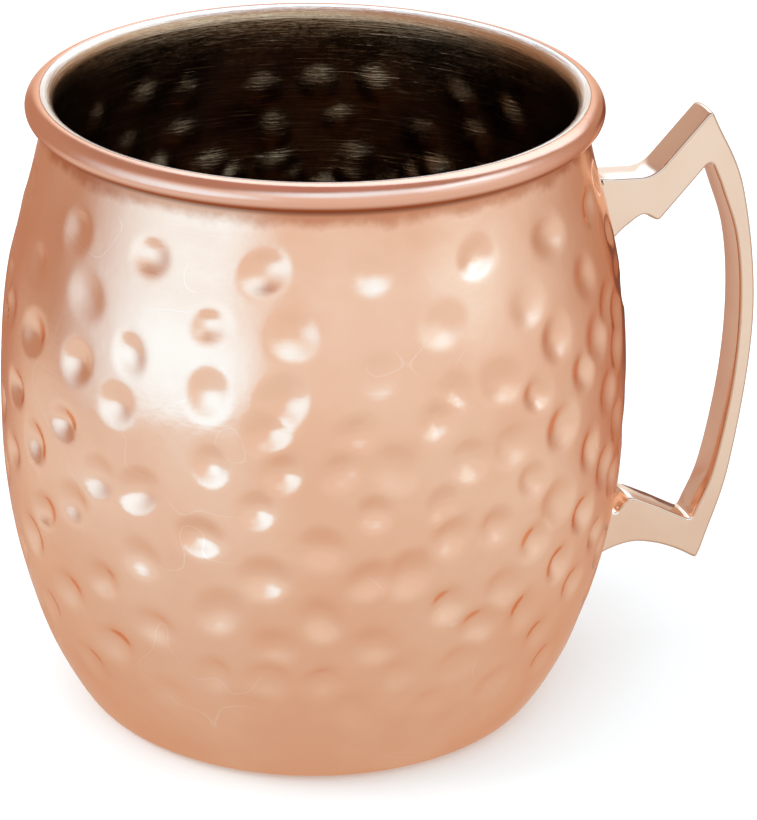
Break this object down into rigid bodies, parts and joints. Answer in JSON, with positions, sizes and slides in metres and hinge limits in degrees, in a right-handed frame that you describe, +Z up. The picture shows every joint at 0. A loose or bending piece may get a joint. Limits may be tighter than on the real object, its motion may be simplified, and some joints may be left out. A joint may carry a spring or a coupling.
{
  "type": "copper mug",
  "caption": "Barrel-shaped hammered copper drinking mug with a stainless steel lining, a rolled rim bead and a flat-sided cast handle with a thumb rest.",
  "frame": {"origin": "on the mug's axis at the flat underside it stands on", "axes": "+Z up along the mug's axis, +X from the axis towards the handle, +Y to the left of a person looking along +X"},
  "size_m": [0.1157, 0.0914, 0.093],
  "materials": {
    "copper_body": "hammered and polished copper, lightly satin",
    "steel_lining": "stainless steel, brushed around the inside",
    "cast_handle": "cast, copper plated and polished",
    "braze_filler": "copper-coloured brazing filler, dressed smooth"
  },
  "bodies": {
    "root": {"copper_shell": "copper_body", "steel_liner": "steel_lining", "handle": "cast_handle", "upper_braze": "braze_filler", "lower_braze": "braze_filler"}
  },
  "joints": []
}
